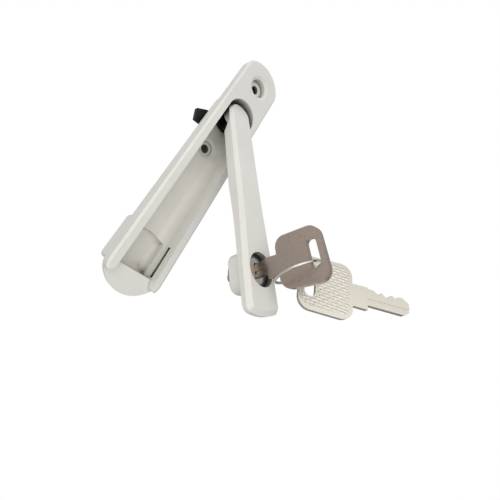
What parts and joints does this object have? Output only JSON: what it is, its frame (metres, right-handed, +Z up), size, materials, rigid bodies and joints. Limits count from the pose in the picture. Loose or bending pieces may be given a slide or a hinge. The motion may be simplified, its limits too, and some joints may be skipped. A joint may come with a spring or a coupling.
{
  "type": "locking window handle",
  "caption": "White lift-and-turn window handle on a troughed base, with a key lock in the free end of the lever, a key in the lock and a spare on a wire ring.",
  "frame": {"origin": "spindle axis where it crosses the mounting face of the base", "axes": "+Z up along the base, +X to the right seen from the room, +Y into the window frame"},
  "size_m": [0.0597, 0.0927, 0.1296],
  "materials": {
    "painted_zinc": "satin",
    "black_nylon": "matte",
    "zinc_plated_steel": "satin",
    "spring_steel": "bright",
    "black_steel": "satin",
    "chrome": "bright",
    "brass": "satin",
    "nickel_key": "satin"
  },
  "bodies": {
    "base_body": {"base": "painted_zinc", "spindle_bush": "black_nylon"},
    "spindle_body": {"spindle": "zinc_plated_steel", "friction_washer": "spring_steel", "spindle_circlip": "spring_steel", "drive_arm": "black_steel", "arm_washer": "zinc_plated_steel", "arm_screw": "zinc_plated_steel"},
    "lever_body": {"lever": "painted_zinc", "cross_pin": "zinc_plated_steel", "lock_housing": "chrome", "housing_pin": "zinc_plated_steel"},
    "plug_body": {"lock_plug": "chrome", "wafers": "brass", "plug_clip": "spring_steel", "cam": "zinc_plated_steel", "cam_screw": "black_steel"},
    "key_body": {"key": "nickel_key", "key_ring": "spring_steel", "spare_key": "nickel_key"}
  },
  "joints": [
    {"name": "spindle_turn", "type": "hinge", "parent": "base_body", "child": "spindle_body", "pos_m": [0, 0, 0], "axis": [0, -1, 0], "range_deg": [-16.8, 73.2]},
    {"name": "lever_lift", "type": "hinge", "parent": "spindle_body", "child": "lever_body", "pos_m": [0.00347, -0.0086, -0.01149], "axis": [-0.9573, 0, -0.289], "range_deg": [-27.6, 3]},
    {"name": "plug_turn", "type": "hinge", "parent": "lever_body", "child": "plug_body", "pos_m": [0.01973, -0.03801, -0.06534], "axis": [-0.1339, -0.8862, 0.4435], "range_deg": [0, 90]},
    {"name": "key_pull", "type": "slide", "parent": "plug_body", "child": "key_body", "axis": [-0.1339, -0.8862, 0.4435], "range_m": [0, 0.022]}
  ]
}
